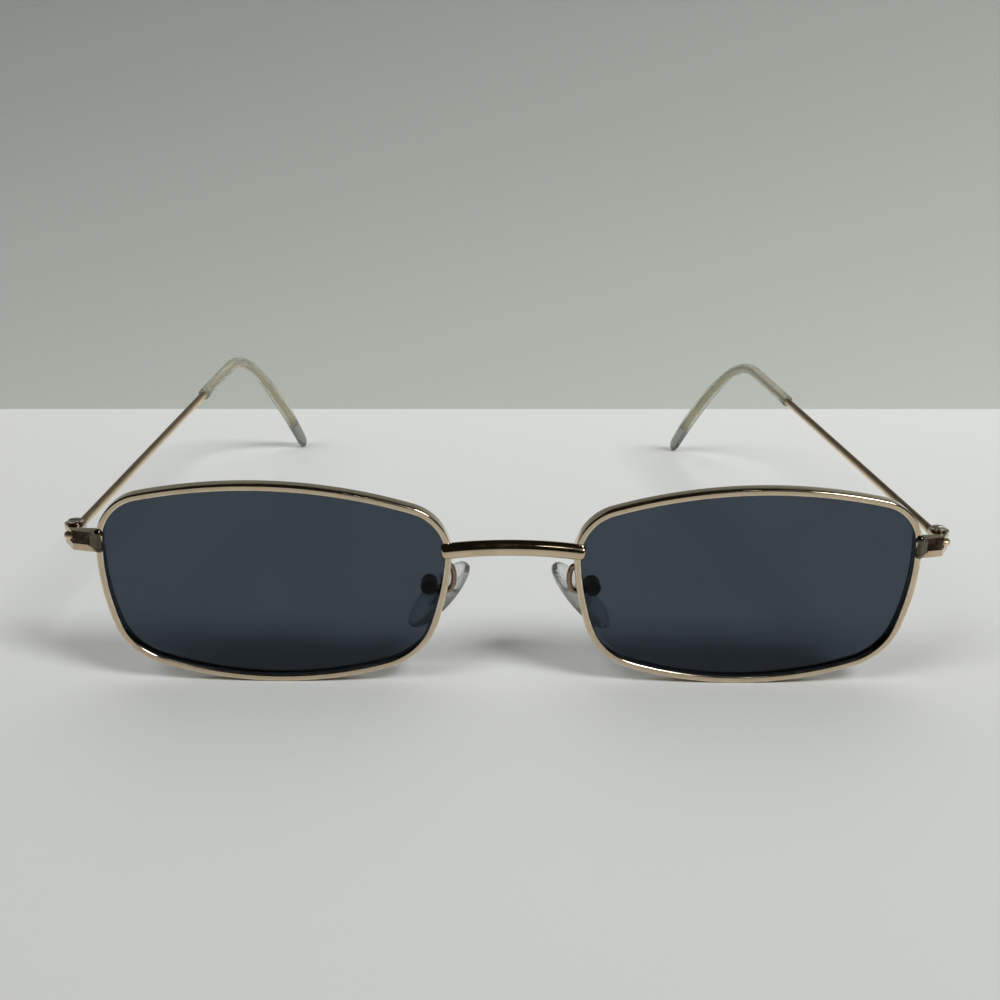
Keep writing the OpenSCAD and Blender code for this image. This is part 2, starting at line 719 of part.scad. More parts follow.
module temple_tip() {
    bore = wire_d + 2 * tip_clear;
    bore_end = temple_l - solid_end;
    mouth = temple_l - tip_l;
    inner = concat(
        [wire_ring(bore_end, bore, bore)],
        [for (i = [drop_steps - 1 : -1 : 0]) if (drop_at[i] < bore_end) wire_ring(drop_at[i], bore, bore)],
        [for (i = [bend_steps : -1 : 0]) wire_ring(bend_at[i], bore, bore)],
        [wire_ring(mouth, bore, bore)]
    );
    outer = concat(
        [for (d = concat([mouth], bend_at, drop_at))
            wire_ring(d, tip_size(tip_d, paddle_w, d), tip_size(tip_d, paddle_t, d))],
        [for (i = [1 : end_steps - 1]) let (a = 90 * i / end_steps, d = along(rise, full_turn))
            ellipse(end_centre + tip_round * sin(a) * d, wire_side, cross(wire_side, d),
                    paddle_t / 2 * cos(a), paddle_w / 2 * cos(a), wire_steps)]
    );
    color(CLEAR)
        skin(concat(inner, outer));
}

// Smooth curve through four points, at t from 0 to 1 between the middle two
function glide(p, t) =
    (2 * p[1] + (p[2] - p[0]) * t + (2 * p[0] - 5 * p[1] + 4 * p[2] - p[3]) * t * t
     + (3 * p[1] - p[0] - 3 * p[2] + p[3]) * t * t * t) / 2;

module pad_arm() {
    n = len(arm_points);
    path = concat(
        [for (i = [0 : n - 2], k = [0 : arm_steps - 1])
            glide([arm_points[max(i - 1, 0)], arm_points[i], arm_points[i + 1], arm_points[min(i + 2, n - 1)]],
                  k / arm_steps)],
        [arm_points[n - 1]]
    );
    last = len(path) - 1;
    rings = [for (i = [0 : last])
        let (t = i == 0 || i == last ? [0, 1, 0] : unit(path[min(i + 1, last)] - path[max(i - 1, 0)]),
             v = unit(arm_up - (arm_up * t) * t), u = cross(v, t))
        ellipse(path[i], v, u, arm_d / 2, arm_d / 2, arm_sides)];
    color(GOLD)
        skin(rings);
}

// Cylinder about the pad box's axis, from depth y0 to y1
module box_rod(d, y0, y1) {
    translate([pad_box_x, y1, pad_box_z])
        rotate([90, 0, 0])
            cylinder(d = d, h = y1 - y0);
}

// Tilt of the slot in the pad box, square to the insert's neck
slot_tilt = atan2(box_out, box_up);

module pad_box() {
    slot_t = tab_t + 2 * tab_clear;
    color(GOLD)
        difference() {
            box_rod(box_d, box_front, box_back);
            translate([pad_box_x, box_front + box_wall, pad_box_z])
                rotate([0, slot_tilt, 0])
                    translate([-box_d, 0, -box_d / 2 - cut])
                        cube([box_d + tab_r + tab_clear, slot_t, box_d + 2 * cut]);
            box_rod(pad_screw_d + 2 * pad_screw_clear, box_front + box_wall - pad_screw_grip, box_back + cut);
        }
}

module pad_screw() {
    translate([pad_box_x, box_back, pad_box_z])
        rotate([-90, 0, 0])
            screw(pad_screw_d, pad_head_d, pad_head_h,
                  box_l - box_wall + pad_screw_grip - pad_screw_clear);
}

// Turn from the pad's middle to its first and last sections
pad_turn = 84;
// Section of the pad at t from -1 at its top to 1 at its bottom
function pad_ring(t) =
    let (round = sqrt(1 - t * t), egg = 1 + pad_egg * t)
    ellipse(pad_centre + pad_l / 2 * t * pad_down, pad_wide, pad_flat,
            pad_w / 2 * round * egg, pad_t / 2 * sqrt(round), pad_steps);

module pad_insert() {
    neck_l = norm([box_out, box_up]);
    color(CLEAR)
        difference() {
            union() {
                translate([pad_box_x, tab_front + tab_t, pad_box_z])
                    rotate([90, 0, 0])
                        linear_extrude(tab_t)
                            union() {
                                circle(r = tab_r);
                                rotate(atan2(-box_up, -box_out))
                                    translate([0, -neck_w / 2])
                                        square([neck_l, neck_w]);
                            }
                multmatrix([
                    [pad_down.x, pad_wide.x, pad_flat.x, pad_centre.x],
                    [pad_down.y, pad_wide.y, pad_flat.y, pad_centre.y],
                    [pad_down.z, pad_wide.z, pad_flat.z, pad_centre.z],
                    [0, 0, 0, 1]
                ])
                    translate([-anchor_l / 2, -anchor_w / 2, -anchor_t / 2])
                        cube([anchor_l, anchor_w, anchor_t]);
            }
            box_rod(pad_screw_d + 2 * pad_screw_clear, box_front, box_back);
        }
}

module nose_pad() {
    color(CLEAR)
        difference() {
            skin([for (i = [0 : pad_rings]) pad_ring(sin(pad_turn * (2 * i / pad_rings - 1)))]);
            pad_insert();
        }
}

// The wearer's left side as modelled, and its mirror image
module left() {
    translate([0, front_y, 0])
        children();
}
module right() {
    mirror([1, 0, 0])
        left()
            children();
}

translate([0, front_y, 0]) bridge();
right() rim();  // right_rim
left() rim();  // left_rim
right() lens();  // right_lens
left() lens();  // left_lens
right() end_piece();  // right_end_piece
left() end_piece();  // left_end_piece
right() rim_lock();  // right_rim_lock
left() rim_lock();  // left_rim_lock
right() rim_screw();  // right_rim_screw
left() rim_screw();  // left_rim_screw
right() hinge_screw();  // right_hinge_screw
left() hinge_screw();  // left_hinge_screw
right() temple();  // right_temple
left() temple();  // left_temple
right() temple_tip();  // right_temple_tip
left() temple_tip();  // left_temple_tip
right() pad_arm();  // right_pad_arm
left() pad_arm();  // left_pad_arm
right() pad_box();  // right_pad_box
left() pad_box();  // left_pad_box
right() pad_screw();  // right_pad_screw
left() pad_screw();  // left_pad_screw
right() pad_insert();  // right_pad_insert
left() pad_insert();  // left_pad_insert
right() nose_pad();  // right_nose_pad
left() nose_pad();  // left_nose_pad
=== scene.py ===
import math
import bmesh
import bpy
import numpy as np
from mathutils import Matrix, Vector


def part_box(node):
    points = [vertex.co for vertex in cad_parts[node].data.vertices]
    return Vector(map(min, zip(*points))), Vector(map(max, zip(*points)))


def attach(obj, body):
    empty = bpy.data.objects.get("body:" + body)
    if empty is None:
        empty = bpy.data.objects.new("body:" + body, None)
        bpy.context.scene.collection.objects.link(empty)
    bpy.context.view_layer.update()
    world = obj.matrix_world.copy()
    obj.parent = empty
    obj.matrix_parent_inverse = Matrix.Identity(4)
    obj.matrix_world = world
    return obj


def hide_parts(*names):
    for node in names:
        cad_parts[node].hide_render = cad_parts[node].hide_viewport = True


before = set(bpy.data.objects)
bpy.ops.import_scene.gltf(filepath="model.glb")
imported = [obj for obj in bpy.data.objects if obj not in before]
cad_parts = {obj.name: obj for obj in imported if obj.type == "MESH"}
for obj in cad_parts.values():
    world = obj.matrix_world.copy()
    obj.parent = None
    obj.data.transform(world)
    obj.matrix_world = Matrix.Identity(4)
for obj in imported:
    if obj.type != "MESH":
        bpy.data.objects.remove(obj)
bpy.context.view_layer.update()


# The table, the low walls round it and the lights.
# The glasses stand open on a matt white table, in front of a pale grey-green wall. Two soft
# windows high up in front, and paler light from behind, light both. The room above is dark.
scene = bpy.context.scene
scene.view_settings.view_transform = "Standard"
scene.view_settings.look = "None"

eye = np.array([-0.01012, -0.26986, 0.09772])
yaw, pitch, roll = np.radians([2.227, 18.295, -1.21])
ahead = np.array([np.sin(yaw) * np.cos(pitch), np.cos(yaw) * np.cos(pitch), -np.sin(pitch)])
level = np.array([np.cos(yaw), -np.sin(yaw), 0.0])
under = np.cross(ahead, level)
to_right = np.cos(roll) * level + np.sin(roll) * under
downwards = -np.sin(roll) * level + np.cos(roll) * under
camera = bpy.data.objects.new("camera", bpy.data.cameras.new("camera"))
camera.data.lens = 50.4
camera.data.sensor_width = 36.0
camera.data.clip_start = 0.01
placing = np.eye(4)
placing[:3, :4] = np.column_stack([to_right, -downwards, -ahead, eye])
camera.matrix_world = Matrix(placing.tolist())
scene.collection.objects.link(camera)
scene.camera = camera


def finish(name, **sockets):
    """New material of one shader, with its constant sockets set, and its Object coordinates."""
    material = bpy.data.materials.new(name)
    material.use_nodes = True
    tree = material.node_tree
    shader = tree.nodes["Principled BSDF"]
    for socket, value in sockets.items():
        shader.inputs[socket.replace("_", " ")].default_value = value
    return material, tree, shader, tree.nodes.new("ShaderNodeTexCoord").outputs["Object"]


def grain(tree, coords, size, stretch=(1, 1, 1), detail=3.0):
    """Random pattern with features of about size metres, drawn out along an axis by stretch."""
    mapping = tree.nodes.new("ShaderNodeMapping")
    mapping.inputs["Scale"].default_value = [1 / s for s in stretch]
    tree.links.new(coords, mapping.inputs["Vector"])
    noise = tree.nodes.new("ShaderNodeTexNoise")
    noise.inputs["Scale"].default_value = 1 / size
    noise.inputs["Detail"].default_value = detail
    tree.links.new(mapping.outputs["Vector"], noise.inputs["Vector"])
    return noise.outputs["Fac"]


def spread(tree, pattern, low, high, socket, start=0.3, end=0.7):
    """Lets a pattern drive a number or a colour: low where the pattern is below start, high where
    it is above end, and a straight line between them."""
    if isinstance(low, tuple):
        ramp = tree.nodes.new("ShaderNodeValToRGB")
        for stop, position, tone in zip(ramp.color_ramp.elements, (start, end), (low, high)):
            stop.position, stop.color = position, (*tone, 1)
        tree.links.new(pattern, ramp.inputs["Fac"])
        tree.links.new(ramp.outputs["Color"], socket)
        return
    between = tree.nodes.new("ShaderNodeMapRange")
    for name, value in (("From Min", start), ("From Max", end), ("To Min", low), ("To Max", high)):
        between.inputs[name].default_value = value
    tree.links.new(pattern, between.inputs["Value"])
    tree.links.new(between.outputs["Result"], socket)


def relief(tree, pattern, height, shader, under=None):
    """Raises the surface by a pattern, height metres from its lowest to its highest."""
    bump = tree.nodes.new("ShaderNodeBump")
    bump.inputs["Distance"].default_value = height
    tree.links.new(pattern, bump.inputs["Height"])
    if under is not None:
        tree.links.new(under, bump.inputs["Normal"])
    tree.links.new(bump.outputs["Normal"], shader.inputs["Normal"])
    return bump.outputs["Normal"]


def slope(tree, coords, way, low, high, socket, start, end):
    """Lets the distance along a direction, from start to end metres, drive a value or a colour."""
    place_along = tree.nodes.new("ShaderNodeVectorMath")
    place_along.operation = "DOT_PRODUCT"
    place_along.inputs[1].default_value = way
    tree.links.new(coords, place_along.inputs[0])
    share = tree.nodes.new("ShaderNodeMapRange")
    share.inputs["From Min"].default_value = start
    share.inputs["From Max"].default_value = end
    tree.links.new(place_along.outputs["Value"], share.inputs["Value"])
    spread(tree, share.outputs["Result"], low, high, socket, 0.0, 1.0)


def sheet_of(name, corners, material):
    """A flat four-cornered surface that belongs to the set and not to the glasses."""
    mesh = bpy.data.meshes.new(name)
    mesh.from_pydata(corners, [], [(0, 1, 2, 3)])
    board = bpy.data.objects.new(name, mesh)
    mesh.materials.append(material)
    scene.collection.objects.link(board)


# Half the table's width, its near edge, and its far edge at the left and at the right, in metres.
table_half, table_near, far_left, far_right = 3.0, -3.0, -0.027, 0.238
wall_half, wall_back, wall_top, foot_z = 6.0, 1.6, 0.95, -0.9
wall_lean = math.tan(math.radians(30))
side_near, side_far, side_top, near_top = -1.3, 2.1, 0.75, 0.08

white_top, tree, shader, coords = finish("white_table", Specular_IOR_Level=0.3)
# The table's colour is painted darker to the front and left and lighter to the back and right:
# painted light.
slope(tree, coords, (0.5, 1.0, 0.0), (0.51, 0.523, 0.51), (0.825, 0.84, 0.82),
      shader.inputs["Base Color"], start=-0.3, end=0.2)
spread(tree, grain(tree, coords, 0.004), 0.42, 0.5, shader.inputs["Roughness"])
relief(tree, grain(tree, coords, 0.0008), 0.00001, shader)
grey_wall, tree, shader, coords = finish("grey_wall", Roughness=0.9, Specular_IOR_Level=0.1)
# The wall's colour is painted darker towards the top and the left and lighter low down and to the
# right: painted light.
slope(tree, coords, (0.28, 0.0, -1.0), (0.239, 0.255, 0.235), (0.642, 0.686, 0.634),
      shader.inputs["Base Color"], start=-0.5, end=0.6)
relief(tree, grain(tree, coords, 0.004), 0.0002, shader)

sheet_of("table_top", [(-table_half, table_near, 0), (table_half, table_near, 0),
                       (table_half, far_right, 0), (-table_half, far_left, 0)], white_top)
sheet_of("floor", [(-wall_half, table_near, foot_z), (wall_half, table_near, foot_z),
                   (wall_half, wall_back, foot_z), (-wall_half, wall_back, foot_z)], white_top)
foot_y, top_y = wall_back + wall_lean * foot_z, wall_back + wall_lean * wall_top
sheet_of("wall", [(-wall_half, foot_y, foot_z), (wall_half, foot_y, foot_z),
                  (wall_half, top_y, wall_top), (-wall_half, top_y, wall_top)], grey_wall)
for name, (x0, y0), (x1, y1), top in (
        ("left_wall", (-table_half, side_far), (-table_half, side_near), side_top),
        ("right_wall", (table_half, side_near), (table_half, side_far), side_top),
        ("near_wall", (-table_half, table_near), (table_half, table_near), near_top)):
    sheet_of(name, [(x0, y0, foot_z), (x1, y1, foot_z), (x1, y1, top), (x0, y0, top)], grey_wall)

# Each light's strength, its width in degrees, the way to it, and whether the metal mirrors it.
for name, strength, width, way, mirrored in (
        ("right_window", 1.8, 20, (0.50, -0.44, 0.745), True),
        ("left_window", 1.1, 28, (-0.50, -0.42, 0.757), False),
        ("pale_ceiling", 1.05, 70, (0.05, 0.65, 0.757), False),
        ("small_lamp", 0.03, 4, (0.16, -0.55, 0.82), True)):
    light = bpy.data.objects.new(name, bpy.data.lights.new(name, "SUN"))
    light.data.energy = strength
    light.data.angle = math.radians(width)
    light.rotation_mode = "QUATERNION"
    light.rotation_quaternion = Vector(way).to_track_quat("Z", "Y")
    light.visible_glossy = mirrored
    scene.collection.objects.link(light)

room = bpy.data.worlds.new("dark_room")
room.use_nodes = True
room.node_tree.nodes["Background"].inputs["Color"].default_value = (0.010, 0.008, 0.006, 1)
scene.world = room


# The two eyewires.
# Each is one drawn nickel-silver section with a lens groove inside, bent to the shape of the lens,
# polished and plated pale gold. It is slit on the outside, between the halves of the end piece.
mm = 0.001
sides = ((1, "left"), (-1, "right"))
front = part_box("left_rim")[0].y / mm
lens_w, lens_h, lens_gap = 52.4, 30.55, 20.95
rim_w, rim_depth = 1.05, 2.6
groove_y, groove_half, groove_depth, lip_taper = 1.6, 0.6, 0.5, 0.04
front_round, back_round, lip_round = 0.28, 0.16, 0.05
inner_x, outer_x = lens_gap / 2, lens_gap / 2 + lens_w
low_z, high_z = rim_w, rim_w + lens_h
hinge_drop, parting_drop, slit_gap = 8.85, 0.55, 0.3


def touching(a, b, r):
    """Arc of radius r inside the arcs a and b that touches both: its centre is as far from each of
    their centres as their radius less r."""
    apart = np.subtract(b[:2], a[:2])
    gap = np.hypot(*apart)
    along = ((a[2] - r) ** 2 - (b[2] - r) ** 2 + gap ** 2) / (2 * gap)
    out = math.sqrt((a[2] - r) ** 2 - along ** 2)
    return np.array([*(np.array(a[:2]) + (along * apart + out * apart[::-1] * [1, -1]) / gap), r])


# The four long arcs, each as its centre and radius, then the four corner arcs that touch them.
top_r, side_r, bottom_r, nasal_r = 87.5, 36.0, 59.5, 44.4
top_x, side_z, bottom_x, nasal_z = 29.8, 20.7, 25.7, 22.7
top_out_r, low_out_r, low_in_r, top_in_r = 6.5, 9.7, 10.6, 7.2
top_arc = np.array([inner_x + top_x, high_z - top_r, top_r])
side_arc = np.array([outer_x - side_r, low_z + side_z, side_r])
bottom_arc = np.array([inner_x + bottom_x, low_z + bottom_r, bottom_r])
nasal_arc = np.array([inner_x + nasal_r, low_z + nasal_z, nasal_r])
top_out = touching(top_arc, side_arc, top_out_r)
low_out = touching(side_arc, bottom_arc, low_out_r)
low_in = touching(bottom_arc, nasal_arc, low_in_r)
top_in = touching(nasal_arc, top_arc, top_in_r)
hinge_z = high_z - hinge_drop
slit_z = hinge_z - parting_drop + slit_gap * np.array([-0.5, 0.5])


def stations():
    """Arc and direction of each point round the lens opening, clockwise from below the slit to
    above it. An arc ends where the line between its centre and the next one's meets it."""
    arcs = [side_arc, low_out, bottom_arc, low_in, nasal_arc, top_in, top_arc, top_out, side_arc]
    counts = [16, 24, 44, 24, 30, 24, 52, 24, 4]
    slit = np.arcsin((slit_z - side_arc[1]) / (side_arc[2] + rim_w / 2))
    turns = [slit[0]]
    for i in range(8):
        wide, corner = (arcs[i + 1], arcs[i]) if i % 2 else (arcs[i], arcs[i + 1])
        turn = math.atan2(*(corner - wide)[1::-1])
        while turn > turns[-1]:
            turn -= 2 * math.pi
        turns.append(turn)
    turns.append(slit[1] - 2 * math.pi)
    arc = np.concatenate([np.repeat([a], n, 0) for a, n in zip(arcs, counts)] + [[side_arc]])
    turn = np.concatenate([np.linspace(turns[i], turns[i + 1], n, endpoint=False)
                           for i, n in enumerate(counts)] + [[turns[-1]]])
    return arc, turn


def outline(out):
    """Points of the lens opening moved out by each value of out: arc centre plus (radius + out)
    along the direction. The result has one row per station and one column per value."""
    arc, turn = stations()
    reach = arc[:, 2:] + np.atleast_1d(out)
    return arc[:, None, :2] + reach[..., None] * np.stack([np.cos(turn), np.sin(turn)], -1)[:, None]


def rounded(corners, radii, steps=5):
    """Closed outline through corners, each turned into an arc of its radius. The arc's centre lies
    on the corner's bisector, and its points swing evenly between the two touching points."""
    p, r = np.array(corners, float), np.array(radii, float)[:, None]
    back, on = np.roll(p, 1, 0) - p, np.roll(p, -1, 0) - p
    back /= np.linalg.norm(back, axis=1, keepdims=True)
    on /= np.linalg.norm(on, axis=1, keepdims=True)
    half = np.arccos(np.sum(back * on, 1, keepdims=True)) / 2
    bisector = (back + on) / np.linalg.norm(back + on, axis=1, keepdims=True)
    centre = p + bisector * r / np.sin(half)
    first, last = p + back * r / np.tan(half) - centre, p + on * r / np.tan(half) - centre
    swing = (math.pi - 2 * half)[:, None]
    t = np.linspace(0, 1, steps + 1)[None, :, None]
    arc = np.sin((1 - t) * swing) * first[:, None] + np.sin(t * swing) * last[:, None]
    return (centre[:, None] + arc / np.sin(swing)).reshape(-1, 2)


def upright(points, depth):
    """Points of the lens's plane, across and up, each set back by its depth behind the front."""
    return np.stack([points[..., 0], np.broadcast_to(depth, points.shape[:-1]), points[..., 1]], -1)


def place(points, side):
    """Points of the wearer's left side in millimetres, put in the frame in metres, or mirrored."""
    return (points + [0, front, 0]) * [side * mm, mm, mm]


def skin(name, grid, loop=False):
    """Mesh over a grid of points, rows along the piece and columns round it. Columns close on
    themselves, rows do too with loop, and otherwise each end has a flat cap."""
    rows, cols, _ = grid.shape
    number = np.arange(rows * cols).reshape(rows, cols)
    a, b = (number, np.roll(number, -1, 0)) if loop else (number[:-1], number[1:])
    faces = np.stack([a, np.roll(a, -1, 1), np.roll(b, -1, 1), b], -1).reshape(-1, 4).tolist()
    if not loop:
        faces += [number[0][::-1].tolist(), number[-1].tolist()]
    return shell(name, grid.reshape(-1, 3).tolist(), faces)


def shell(name, points, faces, crease=38):
    """Closed mesh with its faces pointing outwards: turned round where its volume comes out
    negative. Edges sharper than crease degrees stay sharp."""
    mesh = bpy.data.meshes.new(name)
    mesh.from_pydata(points, [], faces)
    solid = bmesh.new()
    solid.from_mesh(mesh)
    if solid.calc_volume(signed=True) < 0:
        bmesh.ops.reverse_faces(solid, faces=solid.faces)
    solid.to_mesh(mesh)
    solid.free()
    mesh.shade_smooth()
    mesh.set_sharp_from_angle(angle=math.radians(crease))
    return mesh


def mark(mesh, name, share, domain="POINT"):
    """Stores how far each point or face of a mesh has changed, from 0 to 1."""
    values = mesh.attributes.new(name, "FLOAT", domain).data
    values.foreach_set("value", np.ascontiguousarray(share, np.float32).ravel())
    return mesh


def put(name, mesh, material, slot, body, *nodes):
    """Adds a finished mesh as a piece that rides on its body and stands for CAD nodes."""
    piece = bpy.data.objects.new(name, mesh)
    mesh.materials.append(material)
    scene.collection.objects.link(piece)
    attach(piece, body)
    if nodes:
        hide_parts(*nodes)
    return piece


def marked(tree, name):
    """How far the surface has changed, as mark stored it under the name, or 0 where nothing is."""
    marks = tree.nodes.new("ShaderNodeAttribute")
    marks.attribute_name = name
    return marks.outputs["Fac"]


def tinted(tree, shader, coords, size, light, deep, dark):
    """Base colour that drifts between light and deep over about size metres, and turns to dark
    where the mesh is marked darkened."""
    tints = tree.nodes.new("ShaderNodeMix")
    tints.data_type = "RGBA"
    tints.inputs["B"].default_value = (*dark, 1)
    spread(tree, grain(tree, coords, size), light, deep, tints.inputs["A"])
    tree.links.new(marked(tree, "darkened"), tints.inputs["Factor"])
    tree.links.new(tints.outputs["Result"], shader.inputs["Base Color"])
    return tints.outputs["Result"]


# painted_shade_brown is the colour of painted shade and dark reflection in the darkened places.
painted_shade_brown, bare_metal = (0.045, 0.035, 0.024), (0.84, 0.75, 0.63)


def plating(name, light, deep, smooth=0.07, worn=0.17, ripple=0.000012):
    """Polished plate: the gold drifts between two tints over a few millimetres, the polish between
    smooth and worn, with fine wheel lines and a slight ripple under them. The darkened places are
    painted nearly black as painted shade and dark reflection, and paler metal shows through on the
    rubbed edges."""
    material, tree, shader, coords = finish(name, Metallic=1.0)
    gold = tinted(tree, shader, coords, 0.004, light, deep, painted_shade_brown)
    patchy = tree.nodes.new("ShaderNodeMath")
    patchy.operation = "MULTIPLY"
    tree.links.new(marked(tree, "rubbed"), patchy.inputs[0])
    spread(tree, grain(tree, coords, 0.0012, detail=5), 0.05, 0.65, patchy.inputs[1],
           start=0.42, end=0.58)
    bare = tree.nodes.new("ShaderNodeMix")
    bare.data_type = "RGBA"
    bare.inputs["B"].default_value = (*bare_metal, 1)
    tree.links.new(patchy.outputs["Value"], bare.inputs["Factor"])
    tree.links.new(gold, bare.inputs["A"])
    tree.links.new(bare.outputs["Result"], shader.inputs["Base Color"])
    spread(tree, grain(tree, coords, 0.0015, detail=6), smooth, worn, shader.inputs["Roughness"])
    wave = relief(tree, grain(tree, coords, 0.0022, detail=2), ripple, shader)
    wheel_lines = grain(tree, coords, 0.0002, stretch=(6, 1, 1), detail=4)
    relief(tree, wheel_lines, 0.0000008, shader, wave)
    return material


frame_gold = plating("pale_gold", (0.69, 0.56, 0.39), (0.60, 0.475, 0.33))
section_corners = [
    (0, 0), (lip_taper, groove_y - groove_half), (groove_depth, groove_y),
    (lip_taper, groove_y + groove_half), (0, rim_depth), (rim_w, rim_depth), (rim_w, 0)]
section_radii = [front_round, lip_round, lip_round, lip_round, back_round, back_round, front_round]
section = rounded(section_corners, section_radii)
out, depth = section.T
rim_points = outline(out)
for row, end_z in ((0, slit_z[0]), (-1, slit_z[1])):
    end_x = side_arc[0] + np.sqrt((side_arc[2] + out) ** 2 - (end_z - side_arc[1]) ** 2)
    rim_points[row] = np.stack([end_x, np.full(len(out), end_z)], -1)
rim_grid = upright(rim_points, depth)

# The inside wall and the groove are painted dark, painted shade and dark reflection in the recess,
# except near the polished front and back. The rounded edges that hands touch, corners 0, 4, 5 and 6
# of the section, are rubbed.
wall_zone, unshaded_margin = 0.06, 0.2
on_wall = (out < wall_zone) & (depth > unshaded_margin) & (depth < rim_depth - unshaded_margin)
in_groove = (out > wall_zone) & (out <= groove_depth) & (abs(depth - groove_y) < groove_half)
shade_points = np.tile(on_wall | in_groove, len(rim_grid))
per_corner = len(section) // len(section_corners)
corner, step = np.divmod(np.arange(len(section)), per_corner)
on_edge = np.isin(corner, (0, 4, 5, 6)) & (step < per_corner - 1)
worn_faces = np.append(np.tile(on_edge, len(rim_grid) - 1), [0, 0])
for side, name in sides:
    rim = mark(skin(name + "_eyewire", place(rim_grid, side)), "darkened", shade_points)
    mark(rim, "rubbed", worn_faces, "FACE")
    put(name + "_eyewire", rim, frame_gold, "gold_frame", "front", name + "_rim")


# The two sun lenses.
# Flat moulded sheet, tinted dark slate grey right through, with a bevelled edge that sits in the
# eyewire's groove. The faces are glossy, with a few patches of dust and wiping haze.
lens_t, lens_clear, face_in, edge_chamfer = 1.5, 0.04, 0.15, 0.1
slate, tree, shader, coords = finish("slate_tint", Transmission_Weight=1.0, IOR=1.2)
spread(tree, grain(tree, coords, 0.02), (0.056, 0.072, 0.096), (0.061, 0.079, 0.104),
       shader.inputs["Base Color"])
spread(tree, grain(tree, coords, 0.006, detail=5), 0.0, 0.02, shader.inputs["Roughness"],
       start=0.74, end=1.0)
bevel_half = groove_half - lens_clear
lens_front, lens_back = groove_y - lens_t / 2, groove_y + lens_t / 2
lens_section = np.array([
    [-face_in, lens_front], [-lens_clear, lens_front + edge_chamfer],
    [-lens_clear, groove_y - bevel_half], [groove_depth - 2 * lens_clear, groove_y],
    [-lens_clear, groove_y + bevel_half], [-lens_clear, lens_back - edge_chamfer],
    [-face_in, lens_back]])
lens_grid = upright(outline(lens_section[:, 0]).transpose(1, 0, 2), lens_section[:, 1:])
for side, name in sides:
    put(name + "_sun_lens", skin(name + "_sun_lens", place(lens_grid, side)), slate, "sun_lens",
        "front", name + "_lens")


# The bridge.
# A round bar of the same metal, arched a little, with rounded ends. It is brazed on the front of
# both eyewires, and its back is notched where it lies over them.
bridge_d, bridge_rise, bridge_set, bridge_past, bridge_drop = 2.5, 0.75, 0.1, 0.7, 1.65
end_round, end_first, seat_clear, notch_y = 0.55, 0.12, 0.02, -0.005
past_seat, before_end = 0.001, 0.2
bridge_half = inner_x + bridge_past
arch_r = (bridge_half ** 2 + bridge_rise ** 2) / (2 * bridge_rise)
bridge_z = nasal_arc[1] - bridge_drop
seat_x = inner_x - rim_w - seat_clear
end_turn = np.linspace(math.pi / 2, end_first, 10)
one_end = np.concatenate([
    np.linspace(seat_x + past_seat, bridge_half - end_round - before_end, 4),
    bridge_half - end_round * (1 - np.cos(end_turn))])
along = np.concatenate([-one_end[::-1], np.linspace(-seat_x, seat_x, 61), one_end])
near_end = np.clip((np.abs(along) - bridge_half + end_round) / end_round, 0, 1)
bar_r = (bridge_d / 2 - end_round + end_round * np.sqrt(1 - near_end ** 2))[:, None]
round_bar = np.linspace(0, 2 * math.pi, 48, endpoint=False)
arch_turn = np.arcsin(along / arch_r)[:, None]
ring_r = arch_r + bar_r * np.sin(round_bar)
bar = np.stack([ring_r * np.sin(arch_turn), bridge_set + bar_r * np.cos(round_bar),
                bridge_z + bridge_rise - arch_r + ring_r * np.cos(arch_turn)], -1)
over_rim = np.abs(along)[:, None] > seat_x
bar[..., 1] = np.where(over_rim, np.minimum(bar[..., 1], notch_y), bar[..., 1])
put("bridge_bar", skin("bridge_bar", place(bar, 1)), frame_gold, "gold_frame", "front", "bridge")


# The end pieces, their closing blocks and the screws.
# Each end piece is a small block sawn in two, level with the slit, and brazed to the eyewire. A
# closing screw clamps the halves, and their leaves hold the temple on a slotted hinge screw.
lug_lean, lug_out, lug_behind, lug_top = math.radians(12), 1.56, 1.75, 2.1
shade_behind, shade_share, block_reach, lock_reach = 1.9, 0.9, 1.75, 0.42
block_ease, screw_ease = 0.00008, 0.00005


def points_of(mesh):
    """Every point of a mesh, one row each."""
    points = np.zeros(len(mesh.vertices) * 3, np.float32)
    mesh.vertices.foreach_get("co", points)
    return points.reshape(-1, 3)


def softened(node, width, crease=30, shape=None):
    """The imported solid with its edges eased: its loose triangles are merged, flat ones joined, and
    every edge sharper than crease degrees is rounded off by width. The shape, if given, moves its
    points first. The rounded faces are marked rubbed."""
    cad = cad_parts[node].data
    corners = np.zeros(len(cad.loops), np.int32)
    cad.loops.foreach_get("vertex_index", corners)
    solid = bmesh.new()
    raw = bpy.data.meshes.new(node + "_raw")
    raw.from_pydata(points_of(cad).tolist(), [], corners.reshape(-1, 3).tolist())
    solid.from_mesh(raw)
    bmesh.ops.remove_doubles(solid, verts=solid.verts, dist=2e-6)
    bmesh.ops.dissolve_limit(solid, angle_limit=math.radians(1), verts=solid.verts,
                             edges=solid.edges)
    if shape is not None:
        raw.clear_geometry()
        solid.to_mesh(raw)
        raw.vertices.foreach_set("co", shape(points_of(raw)).ravel())
        solid.clear()
        solid.from_mesh(raw)
    edges = [e for e in solid.edges
             if len(e.link_faces) == 2 and e.calc_face_angle(0) > math.radians(crease)]
    eased = bmesh.ops.bevel(solid, geom=edges, offset=width, segments=3, profile=0.5,
                            affect="EDGES", clamp_overlap=True)
    solid.faces.index_update()
    rubbed = np.zeros(len(solid.faces))
    rubbed[[f.index for f in eased["faces"]]] = 1
    mesh = bpy.data.meshes.new(node + "_eased")
    solid.to_mesh(mesh)
    solid.free()
    mesh.shade_smooth()
    mesh.set_sharp_from_angle(angle=math.radians(40))
    return mark(mesh, "rubbed", rubbed, "FACE")


